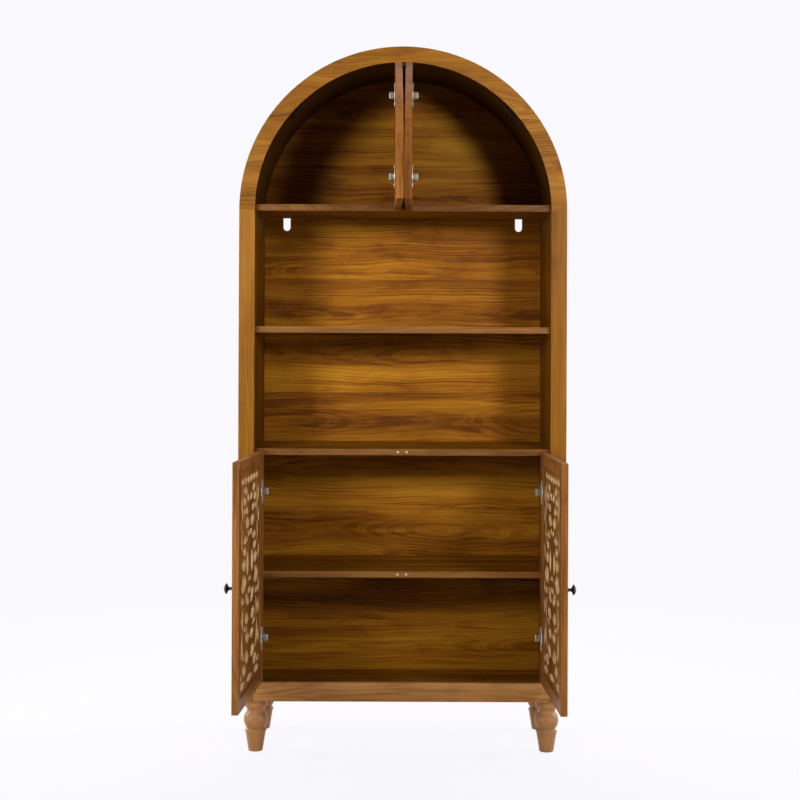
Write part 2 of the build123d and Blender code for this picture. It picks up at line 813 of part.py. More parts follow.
lower_links = Compound([place * hinge_link() for place in lower_frames])
upper_links = Compound([place * hinge_link() for place in upper_frames])
lower_pin = (lower_cup_x + link_pin[0], door_rear_y + link_pin[1])
upper_pin = (upper_cup_x + link_pin[0], door_rear_y + link_pin[1])
lower_right_pin = (-lower_pin[0], lower_pin[1])
upper_left_pin = (-upper_pin[0], upper_pin[1])
nodes["lower_left_hinge_links"] = swing(lower_links, lower_pin, -link_ratio * lower_left_opening)
nodes["lower_right_hinge_links"] = swing(
    mirrored(lower_links), lower_right_pin, link_ratio * lower_right_opening
)
nodes["upper_right_hinge_links"] = swing(upper_links, upper_pin, -link_ratio * upper_opening)
nodes["upper_left_hinge_links"] = swing(
    mirrored(upper_links), upper_left_pin, link_ratio * upper_opening
)

lower_right_pivot = (-lower_pivot[0], lower_pivot[1])
for name, piece in lower_door().items():
    nodes["lower_left_" + name] = swing(piece, lower_pivot, -lower_left_opening)
    nodes["lower_right_" + name] = swing(mirrored(piece), lower_right_pivot, lower_right_opening)

upper_left_pivot = (-upper_pivot[0], upper_pivot[1])
for name, piece in upper_door_pieces().items():
    nodes["upper_right_" + name] = swing(piece, upper_pivot, -upper_opening)
    nodes["upper_left_" + name] = swing(mirrored(piece), upper_left_pivot, upper_opening)

os.makedirs("parts", exist_ok=True)
for name, shape in nodes.items():
    export_step(shape, f"parts/{name}.step")
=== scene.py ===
import json
import math

import bmesh
import bpy
from mathutils import Matrix, Vector

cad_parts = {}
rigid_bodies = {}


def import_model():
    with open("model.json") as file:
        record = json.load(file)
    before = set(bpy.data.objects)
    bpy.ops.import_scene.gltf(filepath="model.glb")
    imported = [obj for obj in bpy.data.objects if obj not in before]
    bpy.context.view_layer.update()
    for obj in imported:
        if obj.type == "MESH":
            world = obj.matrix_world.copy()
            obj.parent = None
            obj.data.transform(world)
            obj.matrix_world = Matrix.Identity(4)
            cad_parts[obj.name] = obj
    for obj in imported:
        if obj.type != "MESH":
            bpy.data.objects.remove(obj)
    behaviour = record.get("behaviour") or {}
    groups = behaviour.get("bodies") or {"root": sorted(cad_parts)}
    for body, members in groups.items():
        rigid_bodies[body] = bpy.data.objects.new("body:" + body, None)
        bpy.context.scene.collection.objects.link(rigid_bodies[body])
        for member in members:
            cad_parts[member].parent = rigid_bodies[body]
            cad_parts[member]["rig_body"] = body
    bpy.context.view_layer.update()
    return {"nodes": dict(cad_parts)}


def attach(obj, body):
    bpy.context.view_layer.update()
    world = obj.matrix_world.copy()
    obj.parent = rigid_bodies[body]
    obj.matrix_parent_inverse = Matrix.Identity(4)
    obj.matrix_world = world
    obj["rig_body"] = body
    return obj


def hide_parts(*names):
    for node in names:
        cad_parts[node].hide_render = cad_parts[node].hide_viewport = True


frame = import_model()
nodes = frame["nodes"]


# Studio camera: it stands at chest height in front of the open cabinet, with
# a long lens shifted downwards so that the upright boards stay parallel.
eye = (-0.0154, -4.237, 1.075)
tilt_degrees = (90.21, -0.24, -0.14)
camera_data = bpy.data.cameras.new("studio_camera")
camera_data.sensor_width = 36.0
camera_data.lens = 72.40
camera_data.shift_x = -0.00081
camera_data.shift_y = -0.09454
camera = bpy.data.objects.new("studio_camera", camera_data)
camera.location = eye
camera.rotation_euler = [math.radians(angle) for angle in tilt_degrees]
bpy.context.scene.collection.objects.link(camera)
bpy.context.scene.camera = camera


# Studio floor: a seamless sheet of pale paper, lit to nearly white, on which
# the cabinet leaves its soft shadow. It fades into the white of the backdrop.
def wire(tree, kind, feeds, output=0, **settings):
    """One shader node with its settings, and a link or a plain value for each socket."""
    made = tree.nodes.new(kind)
    for key, value in settings.items():
        setattr(made, key, value)
    for socket, feed in feeds.items():
        if isinstance(feed, bpy.types.NodeSocket):
            tree.links.new(feed, made.inputs[socket])
        else:
            made.inputs[socket].default_value = feed
    return made.outputs[output] if made.outputs else made


def blank(name):
    """A material with an empty node tree."""
    material = bpy.data.materials.new(name)
    material.use_nodes = True
    material.node_tree.nodes.clear()
    return material


def seen_directly(tree):
    """1 on rays from the camera, off a gloss or through glass, and 0 on diffuse ones."""
    rays = tree.nodes.new("ShaderNodeLightPath").outputs
    either = wire(
        tree, "ShaderNodeMath", {0: rays["Is Camera Ray"], 1: rays["Is Glossy Ray"]},
        operation="MAXIMUM",
    )
    return wire(
        tree, "ShaderNodeMath", {0: either, 1: rays["Is Transmission Ray"]}, operation="MAXIMUM"
    )


paper_white = (0.955, 0.947, 0.988, 1.0)
paper_radius = 6.0
paper_bounce = (0.46, 0.46, 0.47, 1.0)
shadow_share = 0.13
glow_lift = 1.055
fade_start, fade_end = 0.9, 2.6
floor_mesh = bmesh.new()
bmesh.ops.create_circle(floor_mesh, cap_ends=True, segments=96, radius=paper_radius)
floor_data = bpy.data.meshes.new("paper_floor")
floor_mesh.to_mesh(floor_data)
floor_mesh.free()
floor = bpy.data.objects.new("paper_floor", floor_data)
bpy.context.scene.collection.objects.link(floor)

paper = blank("pale_paper")
tree = paper.node_tree
spot = wire(tree, "ShaderNodeTexCoord", {}, "Object")
distance = wire(tree, "ShaderNodeVectorMath", {0: spot}, "Value", operation="LENGTH")
fade, lift = (
    wire(
        tree, "ShaderNodeMapRange",
        {0: distance, 1: fade_start, 2: fade_end, 3: near, 4: far},
        interpolation_type="SMOOTHSTEP",
    )
    for near, far in ((shadow_share, 0.0), (glow_lift, 1.0))
)
tooth = wire(tree, "ShaderNodeTexNoise", {"Vector": spot, "Scale": 220.0, "Detail": 2.0})
nap = wire(tree, "ShaderNodeBump", {"Height": tooth, "Strength": 0.05, "Distance": 0.001})
lit = wire(tree, "ShaderNodeBsdfDiffuse", {"Color": (0.9, 0.9, 0.92, 1.0), "Normal": nap})
glow = wire(tree, "ShaderNodeEmission", {"Color": paper_white, "Strength": lift})
seen = wire(tree, "ShaderNodeMixShader", {0: fade, 1: glow, 2: lit})
bounce = wire(tree, "ShaderNodeBsdfDiffuse", {"Color": paper_bounce})
skin = wire(tree, "ShaderNodeMixShader", {0: seen_directly(tree), 1: bounce, 2: seen})
wire(tree, "ShaderNodeOutputMaterial", {"Surface": skin})
floor_data.materials.append(paper)


# Studio backdrop and lamps: a white surround, two soft boxes in front, a low
# one at each side for the legs and the lower doors, and broad ones at the
# sides, behind and overhead.
world = bpy.data.worlds.new("white_surround")
bpy.context.scene.world = world
world.use_nodes = True
tree = world.node_tree
tree.nodes.clear()
ambient_white = (0.95, 0.97, 1.0, 1.0)
ambient = wire(tree, "ShaderNodeBackground", {"Color": ambient_white, "Strength": 0.016})
white = wire(tree, "ShaderNodeBackground", {"Color": paper_white, "Strength": 1.0})
sky = wire(tree, "ShaderNodeMixShader", {0: seen_directly(tree), 1: ambient, 2: white})
wire(tree, "ShaderNodeOutputWorld", {"Surface": sky})

lamp_white = (1.0, 0.985, 0.96)
# Each lamp: its name, its place, what it aims at, its width, its spread in degrees and its watts.
lamps = (
    ("soft_box_left", (-1.86, -3.05, 1.80), (-0.20, 0.0, 1.50), 0.95, 66.0, 10.2),
    ("soft_box_right", (1.46, -3.05, 1.80), (0.20, 0.0, 1.50), 0.60, 66.0, 8.5),
    ("low_box_left", (-2.3, -1.5, 0.35), (-0.36, -0.16, 0.25), 0.8, 80.0, 4.4),
    ("low_box_right", (2.3, -1.5, 0.35), (0.36, -0.16, 0.25), 0.8, 80.0, 4.6),
    ("side_box_left", (-3.2, 0.7, 1.5), (-0.4, 0.0, 0.95), 1.6, 120.0, 27.0),
    ("side_box_right", (3.2, 0.7, 1.5), (0.4, 0.0, 0.95), 1.6, 120.0, 27.0),
    ("back_box_left", (-1.8, 3.3, 1.8), (0.0, 0.0, 0.95), 1.6, 120.0, 27.0),
    ("back_box_right", (1.8, 3.3, 1.8), (0.0, 0.0, 0.95), 1.6, 120.0, 27.0),
    ("top_box", (0.0, 0.3, 4.2), (0.0, 0.0, 1.6), 1.6, 180.0, 18.0),
)
for name, place, aim, size, spread, watts in lamps:
    lamp = bpy.data.lights.new(name, "AREA")
    lamp.shape = "DISK"
    lamp.size = size
    lamp.spread = math.radians(spread)
    lamp.energy = watts
    lamp.color = lamp_white
    box = bpy.data.objects.new(name, lamp)
    bpy.context.scene.collection.objects.link(box)
    box.location = place
    box.rotation_mode = "QUATERNION"
    box.rotation_quaternion = (Vector(place) - Vector(aim)).to_track_quat("Z", "Y")

bpy.context.scene.view_settings.view_transform = "Standard"


# Left and right sides: 40 mm hollow-core panels faced with printed walnut
# foil, whose grain runs up the panel. The long arrises are rubbed a little.
def walnut(
    name, order, face, strip, tones, seed, figure=1.0, roughness=0.46, gloss=0.12, wander=0.05,
    arc=None
):
    """Walnut foil: heart rings seen through flat-sawn strips, with flames, streaks and pores.

    The order names the axes along, across and into the board, whose face lies at the depth
    given. With an arc, the grain bends about a level axis at that height.
    """
    ring_rate, fine_rate = 880.0, 2650.0
    ring_share, fine_share = 0.13, 0.07
    heart_depth, heart_drift = 0.045, 0.17
    ring_bend, ring_shiver = 0.012, 0.0018
    band_gain, streak_gain = 1.55, 0.80
    flame_share, dark_line_share, pore_share = -0.26, -0.12, -0.12
    strip_share, fibre_share = 0.20, 0.20
    tone_places = (0.12, 0.40, 0.62, 0.86)
    material = blank(name)
    tree = material.node_tree

    def sums(kind, *terms):
        return wire(tree, "ShaderNodeMath", dict(enumerate(terms)), operation=kind)

    def noise(stretch, push=0.0, detail=3.0, rough=0.55):
        spot = wire(
            tree, "ShaderNodeCombineXYZ",
            {
                0: sums("MULTIPLY_ADD", along, stretch[0], push),
                1: sums("MULTIPLY", across, stretch[1]),
                2: sums("MULTIPLY", deep, stretch[1]),
            },
        )
        return wire(
            tree, "ShaderNodeTexNoise",
            {"Vector": spot, "Scale": 1.0, "Detail": detail, "Roughness": rough},
        )

    def between(value, low, high, start, end):
        return wire(tree, "ShaderNodeMapRange", {0: value, 1: low, 2: high, 3: start, 4: end})

    def length(first, second):
        squares = sums("ADD", sums("MULTIPLY", first, first), sums("MULTIPLY", second, second))
        return sums("SQRT", squares)

    def crests(value, rate, sharpness):
        swing = sums("SINE", sums("MULTIPLY", value, rate))
        return sums("POWER", sums("MULTIPLY_ADD", swing, 0.5, 0.5), sharpness)

    where = wire(tree, "ShaderNodeTexCoord", {}, "Object")
    axes = tree.nodes.new("ShaderNodeSeparateXYZ")
    tree.links.new(where, axes.inputs[0])
    if arc is None:
        along, across, deep = (axes.outputs["xyz".index(axis)] for axis in order)
    else:
        side, across, height = axes.outputs
        rise = sums("SUBTRACT", height, arc)
        deep = length(side, rise)
        along = sums("MULTIPLY", sums("ARCTAN2", side, rise), 0.4)
    row = sums("FLOOR", sums("MULTIPLY_ADD", across, 1.0 / strip, seed))
    dice = wire(tree, "ShaderNodeTexWhiteNoise", {"W": row}, "Color", noise_dimensions="1D")
    luck = tree.nodes.new("ShaderNodeSeparateColor")
    tree.links.new(dice, luck.inputs[0])
    heart_luck, shift_luck, tone_luck = luck.outputs
    shift = sums("MULTIPLY_ADD", shift_luck, 37.0, seed)
    middle = sums("MULTIPLY", sums("SUBTRACT", sums("ADD", row, heart_luck), seed), strip)

    lean = noise((2.4, 5.0), shift, 2.0)
    across = sums("MULTIPLY_ADD", lean, wander, sums("SUBTRACT", across, 0.5 * wander))
    drift = noise((0.9, 0.0), shift, 2.0)
    below = sums("SUBTRACT", deep, face + heart_depth)
    depth = sums("MULTIPLY_ADD", drift, heart_drift, below)
    radius = length(sums("SUBTRACT", across, middle), depth)
    wave = noise((3.6, 15.0), shift, 3.0)
    ripple = noise((30.0, 90.0), shift, 2.0)
    bent = sums("MULTIPLY_ADD", ripple, ring_shiver, radius)
    bent = sums("MULTIPLY_ADD", wave, ring_bend, bent)
    late = crests(bent, ring_rate, 2.6)
    fine = crests(bent, fine_rate, 2.0)
    strength = between(noise((3.0, 26.0), shift, 2.0), 0.36, 0.64, 0.2, 1.7)

    band = noise((1.2, 21.0), shift, 5.0, 0.6)
    streak = noise((3.0, 170.0), shift, 4.0, 0.65)
    flame = between(noise((9.0, 17.0), shift, 4.0, 0.6), 0.50, 0.80, 0.0, 1.0)
    fibre = noise((26.0, 1150.0), 0.0, 2.0)
    pores = between(fibre, 0.64, 0.78, 0.0, 1.0)
    dark_line = between(streak, 0.40, 0.30, 0.0, 1.0)
    tone = sums("MULTIPLY_ADD", band, band_gain, -0.245)
    tone = sums("MULTIPLY_ADD", streak, streak_gain, sums("SUBTRACT", tone, 0.5 * streak_gain))
    fine_lines = sums("MULTIPLY", fine, fine_share * figure)
    lines = sums("MULTIPLY_ADD", late, ring_share * figure, fine_lines)
    tone = sums("SUBTRACT", tone, sums("MULTIPLY", lines, strength))
    tone = sums("MULTIPLY_ADD", flame, flame_share * figure, tone)
    tone = sums("MULTIPLY_ADD", dark_line, dark_line_share, tone)
    settled = sums("SUBTRACT", tone, 0.2 * strip_share * figure)
    tone = sums("MULTIPLY_ADD", tone_luck, strip_share * figure, settled)
    tone = sums("MULTIPLY_ADD", fibre, fibre_share, sums("SUBTRACT", tone, 0.5 * fibre_share))
    tone = sums("MULTIPLY_ADD", pores, pore_share, tone)
    ramp = tree.nodes.new("ShaderNodeValToRGB")
    tree.links.new(tone, ramp.inputs[0])
    stops = ramp.color_ramp.elements
    for place, colour in zip(tone_places, tones):
        stop = stops.new(place)
        stop.color = (*colour, 1.0)
    stops.remove(stops[0])
    stops.remove(stops[-1])

    arris = wire(tree, "ShaderNodeAttribute", {}, "Fac", attribute_name="rub")
    patches = wire(tree, "ShaderNodeTexNoise", {"Vector": where, "Scale": 38.0, "Detail": 4.0})
    worn = sums("MULTIPLY", arris, between(patches, 0.42, 0.68, 0.10, 0.55))
    worn_colour = (*(min(1.0, 1.5 * channel + 0.03) for channel in tones[3]), 1.0)
    tint = wire(
        tree, "ShaderNodeMix", {0: worn, 6: ramp.outputs[0], 7: worn_colour}, 2, data_type="RGBA"
    )
    sheen = between(streak, 0.3, 0.7, roughness + 0.07, roughness - 0.05)
    relief = sums("MULTIPLY_ADD", pores, -0.7, fibre)
    bump = wire(tree, "ShaderNodeBump", {"Height": relief, "Strength": 0.12, "Distance": 0.0004})
    shader = wire(
        tree, "ShaderNodeBsdfPrincipled",
        {"Base Color": tint, "Roughness": sheen, "Normal": bump, "Specular IOR Level": gloss},
    )
    wire(tree, "ShaderNodeOutputMaterial", {"Surface": shader})
    return material


def dimmed(tones, red, green, blue):
    """The same tones with each channel cut to its share."""
    return tuple((red * tone[0], green * tone[1], blue * tone[2]) for tone in tones)


golden = (
    (0.135, 0.046, 0.003),
    (0.226, 0.083, 0.005),
    (0.290, 0.113, 0.008),
    (0.370, 0.160, 0.017),
)
side_foil = walnut("walnut_upright", "zxy", -0.16, 0.21, golden, 4.4)
broad_foil = walnut("walnut_broad", "zyx", -0.416, 0.16, golden, 5.7)
# The sides' inner faces take the same foil cut to 0.62: a painted shade for the dark inside of
# the carcass.
inner_painted_shade_foil = walnut(
    "walnut_inside_painted_shade", "zyx", -0.376, 0.16, dimmed(golden, 0.62, 0.62, 0.62), 6.4,
    roughness=0.72, gloss=0.02,
)
panel_ease = 0.0008


def dress(node, material):
    """Give a CAD node its material."""
    nodes[node].material_slots[0].material = material


def finished(node, material, ease, steps=2, smooth=15.0, insets=()):
    """A made piece's copy of a plain CAD solid: clean faces and eased arrises."""
    weld = 0.00001
    flat_angle, arris_angle = math.radians(0.6), math.radians(50.0)
    dress(node, material)
    mesh = bmesh.new()
    mesh.from_mesh(nodes[node].data)
    bmesh.ops.remove_doubles(mesh, verts=mesh.verts, dist=weld)
    bmesh.ops.dissolve_limit(mesh, angle_limit=flat_angle, verts=mesh.verts, edges=mesh.edges)
    rub = mesh.faces.layers.float.new("rub")
    arrises = [
        edge for edge in mesh.edges
        if edge.is_convex and edge.calc_face_angle(0.0) > arris_angle
    ]
    eased = bmesh.ops.bevel(
        mesh, geom=arrises, offset=ease, offset_type="OFFSET", segments=steps, profile=0.5,
        affect="EDGES", clamp_overlap=False, material=-1,
    )
    for face in eased["faces"]:
        face[rub] = 1.0
    for index, (_, test) in enumerate(insets, 1):
        for face in mesh.faces:
            if test(face):
                face.material_index = index
    data = bpy.data.meshes.new(f"{node}_finished")
    mesh.to_mesh(data)
    mesh.free()
    data.materials.append(material)
    for other, _ in insets:
        data.materials.append(other)
    data.shade_smooth()
    data.set_sharp_from_angle(angle=math.radians(smooth))
    piece = bpy.data.objects.new(f"{node}_finished", data)
    bpy.context.scene.collection.objects.link(piece)
    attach(piece, nodes[node]["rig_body"])
    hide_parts(node)
    return piece


def faces_outward(face):
    return abs(face.normal.x) > 0.9 and face.normal.x * face.calc_center_median().x > 0.0


def faces_inward(face):
    return abs(face.normal.x) > 0.9 and face.normal.x * face.calc_center_median().x < 0.0


side_insets = ((broad_foil, faces_outward), (inner_painted_shade_foil, faces_inward))
for node in ("left_side", "right_side"):
    finished(node, side_foil, panel_ease, insets=side_insets)


# Arch hood: a half round of bent board, 40 mm thick, faced with the same foil
# laid level, so that the grain crosses its feet and runs along its crown.
hood_foil = walnut("walnut_hood", "xzy", -0.16, 0.13, golden, 8.6, 1.3, wander=0.14)
spring_middle = Vector((0.0, 0.0, 1.379))
# The lining inside the bend takes the foil cut to 0.28: a painted shade for the dark inside of
# the arch.
lining_painted_shade_foil = walnut(
    "walnut_lining_painted_shade", "yxz", 0.376, 0.16, dimmed(golden, 0.28, 0.28, 0.28), 2.2,
    gloss=0.04, arc=spring_middle.z,
)
hood_wrap = walnut("walnut_wrap", "yxz", 0.416, 0.16, golden, 6.1, arc=spring_middle.z)


def lean_outward(face):
    """How far a face of the bend looks away from its axis: 1 for the crown, -1 for the lining."""
    outward = face.calc_center_median() - spring_middle
    outward.y = 0.0
    return face.normal.dot(outward.normalized()) if abs(face.normal.y) < 0.5 else 0.0


def faces_axis(face):
    return lean_outward(face) < -0.5


def faces_sky(face):
    return lean_outward(face) > 0.5


hood_insets = ((lining_painted_shade_foil, faces_axis), (hood_wrap, faces_sky))
finished("arch_hood", hood_foil, panel_ease, insets=hood_insets)


# Dowels: fluted beech pins between the sides and the hood, two at each foot.
beech_tones = (
    (0.42, 0.27, 0.13),
    (0.55, 0.37, 0.19),
    (0.62, 0.43, 0.24),
    (0.68, 0.49, 0.29),
)
beech = walnut("beech_dowel", "zxy", 0.0, 0.05, beech_tones, 1.7, figure=0.3, roughness=0.6)
dress("arch_dowels", beech)


# Bottom board and base rail: 16 mm boards with the grain along the cabinet.
# The rail closes the foot of the carcass below the doors.
rail_tones = (
    (0.265, 0.108, 0.030),
    (0.405, 0.182, 0.056),
    (0.500, 0.238, 0.074),
    (0.585, 0.297, 0.100),
)
rail_foil = walnut("walnut_rail", "xzy", -0.16, 0.052, rail_tones, 5.1)
shelf_foil = walnut("walnut_shelf", "xyz", 0.5, 0.12, golden, 2.4, roughness=0.72, gloss=0.02)
finished("bottom_board", shelf_foil, ease=0.0004)
finished("base_rail", rail_foil, ease=0.0007)


# Shelves: 16 mm boards between the sides, foiled above and below, with the
# front edge taped in a slightly redder strip.
tape_tones = (
    (0.118, 0.043, 0.010),
    (0.186, 0.073, 0.017),
    (0.238, 0.098, 0.023),
    (0.290, 0.127, 0.032),
)
tape_foil = walnut("walnut_tape", "xzy", -0.16, 0.052, tape_tones, 6.8)
board_ease = 0.0006


def faces_front(face):
    return face.normal.y < -0.9


for node in ("lower_shelf", "cabinet_top", "middle_shelf", "arch_floor"):
    finished(node, shelf_foil, board_ease, insets=((tape_foil, faces_front),))


# Arch partition: an upright 16 mm board on the arch's floor, faced like the
# sides, which carries the hinges of both upper doors.
finished("arch_partition", side_foil, board_ease)


# Back panels: 3 mm fibreboard printed with level walnut planks, let into
# rebates. The lower one has the two slots for the wall straps.
back_tones = (
    (0.138, 0.041, 0.004),
    (0.283, 0.096, 0.006),
    (0.406, 0.159, 0.010),
    (0.545, 0.247, 0.016),
)
back_foil = walnut(
    "walnut_back", "xzy", 0.155, 0.155, back_tones, 4.1613, figure=1.05, gloss=0.06
)
# The arch's panel takes the same print cut to 0.72: a painted shade for the darker inside of the
# arch.
arch_back_painted_shade_foil = walnut(
    "walnut_arch_back_painted_shade", "xzy", 0.155, 0.155, dimmed(back_tones, 0.72, 0.72, 0.72), 7.1613,
    gloss=0.05,
)
dress("lower_back_panel", back_foil)
dress("arch_back_panel", arch_back_painted_shade_foil)


# Magnets: round plugs in nickel-plated caps, pressed into holes in the shelf
# fronts, where they hold the lower doors shut.
def blend(tree, value, low, dark, high, light):
    """A colour that runs from dark at the low value to light at the high one."""
    ramp = wire(tree, "ShaderNodeValToRGB", {0: value})
    stops = ramp.node.color_ramp.elements
    for stop, place, colour in zip(stops, (low, high), (dark, light)):
        stop.position = place
        stop.color = (*colour, 1.0)
    return ramp


def metal(name, colour, roughness, seed):
    """Plated steel with a faint brushed and handled variation in its gloss."""
    material = blank(name)
    tree = material.node_tree
    where = wire(tree, "ShaderNodeTexCoord", {}, "Object")
    haze = wire(
        tree, "ShaderNodeTexNoise", {"Vector": where, "Scale": 160.0 + seed, "Detail": 3.0}
    )
    gloss = wire(
        tree, "ShaderNodeMapRange",
        {0: haze, 1: 0.3, 2: 0.7, 3: roughness - 0.06, 4: roughness + 0.09},
    )
    tarnished = tuple(0.86 * channel for channel in colour)
    colours = blend(tree, haze, 0.25, tarnished, 0.75, colour)
    fine = wire(tree, "ShaderNodeTexNoise", {"Vector": where, "Scale": 2400.0, "Detail": 2.0})
    bump = wire(tree, "ShaderNodeBump", {"Height": fine, "Strength": 0.06, "Distance": 0.0002})
    shader = wire(
        tree, "ShaderNodeBsdfPrincipled",
        {"Base Color": colours, "Metallic": 1.0, "Roughness": gloss, "Normal": bump},
    )
    wire(tree, "ShaderNodeOutputMaterial", {"Surface": shader})
    return material


nickel = metal("nickel_magnet", (0.52, 0.47, 0.38), 0.46, 3.0)
finished("shelf_magnets", nickel, ease=0.0005, smooth=40.0)


# Legs: turned from rubberwood and sprayed in a tan stain with a satin lacquer,
# each held by a steel hanger bolt. The outline is (radius, height) in mm.
turned_tones = (
    (0.320, 0.143, 0.047),
    (0.392, 0.180, 0.060),
    (0.445, 0.210, 0.073),
    (0.505, 0.248, 0.092),
)
turned = walnut(
    "turned_tan", "zxy", -0.15, 0.30, turned_tones, 6.2, figure=0.30, roughness=0.36, gloss=0.26
)
leg_outline = (
    (0.0, 0.0), (16.9, 0.0), (17.8, 0.5), (18.3, 1.5), (22.0, 25.0), (25.9, 49.2), (26.9, 50.2),
    (27.4, 51.8), (27.4, 53.6), (26.8, 55.2), (25.2, 56.4), (22.9, 56.9), (22.6, 58.6),
    (23.5, 60.2), (25.4, 62.8), (27.3, 66.2), (28.9, 70.2), (30.1, 75.0), (30.5, 80.0),
    (30.1, 85.0), (28.9, 89.8), (27.2, 93.9), (25.0, 97.4), (22.9, 100.1), (22.2, 101.6),
    (22.3, 104.4), (22.9, 107.3), (24.3, 110.6), (26.3, 113.3), (27.6, 113.6), (28.3, 114.4),
    (28.4, 116.0), (28.4, 133.4), (27.8, 134.0), (0.0, 134.0),
)
leg_middle = (0.372, 0.116)


def lathe(outline, matrix, steps):
    """Spin an outline of (radius, height) in millimetres about its axis, then set it in place."""
    mesh = bmesh.new()
    corners = [mesh.verts.new((r / 1000.0, 0.0, h / 1000.0)) for r, h in outline]
    edges = [mesh.edges.new(pair) for pair in zip(corners, corners[1:])]
    bmesh.ops.spin(
        mesh, geom=corners + edges, axis=(0, 0, 1), cent=(0, 0, 0), dvec=(0, 0, 0),
        angle=2.0 * math.pi, steps=steps, use_merge=True, use_normal_flip=False,
        use_duplicate=False,
    )
    bmesh.ops.transform(mesh, matrix=matrix, verts=mesh.verts)
    bmesh.ops.remove_doubles(mesh, verts=mesh.verts, dist=0.000005)
    bmesh.ops.recalc_face_normals(mesh, faces=mesh.faces)
    return mesh


def built(name, mesh, material, body, replaced=(), smooth=30.0):
    """Turn a finished bmesh into a piece that rides on a body."""
    data = bpy.data.meshes.new(name)
    mesh.to_mesh(data)
    mesh.free()
    data.materials.append(material)
    data.shade_smooth()
    data.set_sharp_from_angle(angle=math.radians(smooth))
    piece = bpy.data.objects.new(name, data)
    bpy.context.scene.collection.objects.link(piece)
    for node in replaced:
        dress(node, material)
    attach(piece, body)
    if replaced:
        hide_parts(*replaced)
    return piece


for node, y in (("front_legs", -leg_middle[1]), ("rear_legs", leg_middle[1])):
    mesh = lathe(leg_outline, Matrix.Translation((-leg_middle[0], y, 0.0)), steps=64)
    second = bmesh.ops.duplicate(mesh, geom=[*mesh.verts, *mesh.edges, *mesh.faces])
    corners = [part for part in second["geom"] if isinstance(part, bmesh.types.BMVert)]
    bmesh.ops.translate(mesh, vec=(2.0 * leg_middle[0], 0.0, 0.0), verts=corners)
    built(f"turned_{node}", mesh, turned, "carcass", (node,))
steel = metal("zinc_steel", (0.38, 0.37, 0.32), 0.46, 11.0)
dress("leg_bolts", steel)


# Arch catches: moulded brown plastic blocks that hold magnets for the upper
# doors, screwed to the inside of the arch.
def moulded(name, dark, light, roughness, gloss):
    """Moulded plastic or paint: a mottled tone, a faint orange-peel and uneven gloss."""
    material = blank(name)
    tree = material.node_tree
    where = wire(tree, "ShaderNodeTexCoord", {}, "Object")
    mottle = wire(tree, "ShaderNodeTexNoise", {"Vector": where, "Scale": 90.0, "Detail": 4.0})
    colours = blend(tree, mottle, 0.3, dark, 0.7, light)
    satin = wire(
        tree, "ShaderNodeMapRange",
        {0: mottle, 1: 0.3, 2: 0.7, 3: roughness - 0.05, 4: roughness + 0.08},
    )
    peel = wire(tree, "ShaderNodeTexNoise", {"Vector": where, "Scale": 1300.0, "Detail": 2.0})
    bump = wire(tree, "ShaderNodeBump", {"Height": peel, "Strength": 0.10, "Distance": 0.0003})
    shader = wire(
        tree, "ShaderNodeBsdfPrincipled",
        {"Base Color": colours, "Roughness": satin, "Normal": bump, "Specular IOR Level": gloss},
    )
    wire(tree, "ShaderNodeOutputMaterial", {"Surface": shader})
    return material


catch_plastic = moulded("brown_plastic", (0.013, 0.006, 0.004), (0.022, 0.010, 0.006), 0.7, 0.03)
for node in ("left_arch_catch", "right_arch_catch"):
    finished(node, catch_plastic, board_ease, smooth=30.0)


# Lower door frames: stiles with the grain upright, and rails tongued between
# them with the grain lying across the door.
door_tones = (
    (0.146, 0.052, 0.014),
    (0.274, 0.104, 0.026),
    (0.388, 0.157, 0.038),
    (0.474, 0.204, 0.055),
)
stile_foil = walnut(
    "walnut_stile", "zyx", -0.36, 0.14, door_tones, 9.2, roughness=0.60, gloss=0.03
)
cross_foil = walnut(
    "walnut_crossrail", "yzx", -0.36, 0.06, door_tones, 7.7, roughness=0.60, gloss=0.03
)
broad_tones = dimmed(door_tones, 0.74, 0.71, 0.60)
broad_stile = walnut("walnut_broad_stile", "zyx", -0.36, 0.14, broad_tones, 9.2)
broad_cross = walnut("walnut_broad_crossrail", "yzx", -0.36, 0.06, broad_tones, 7.7)


def faces_across(face):
    return abs(face.normal.x) > 0.9


for side in ("left", "right"):
    for part, foil, broad in (
        ("hinge_stile", stile_foil, broad_stile),
        ("latch_stile", stile_foil, broad_stile),
        ("top_rail", cross_foil, broad_cross),
        ("bottom_rail", cross_foil, broad_cross),
    ):
        insets = ((broad, faces_across),)
        finished(f"lower_{side}_{part}", foil, board_ease, insets=insets)


# Lattice panels: 8 mm fibreboard, foiled on both faces and then cut right
# through in leaves and crescents, so that the cut walls show the pale core.
lattice_tones = dimmed(door_tones, 0.66, 0.64, 0.48)
lattice_face = walnut("walnut_lattice", "zyx", -0.36, 0.11, lattice_tones, 12.4)
core_tones = (
    (0.360, 0.208, 0.092),
    (0.455, 0.280, 0.132),
    (0.520, 0.330, 0.165),
    (0.590, 0.385, 0.208),
)
raw_core = walnut(
    "fibreboard_core", "zyx", -0.36, 0.9, core_tones, 4.4, figure=0.1, roughness=0.75
)


def is_cut(face):
    return abs(face.normal.x) < 0.9


for side in ("left", "right"):
    finished(
        f"lower_{side}_lattice", lattice_face, ease=0.0004, steps=1, smooth=30.0,
        insets=((raw_core, is_cut),),
    )


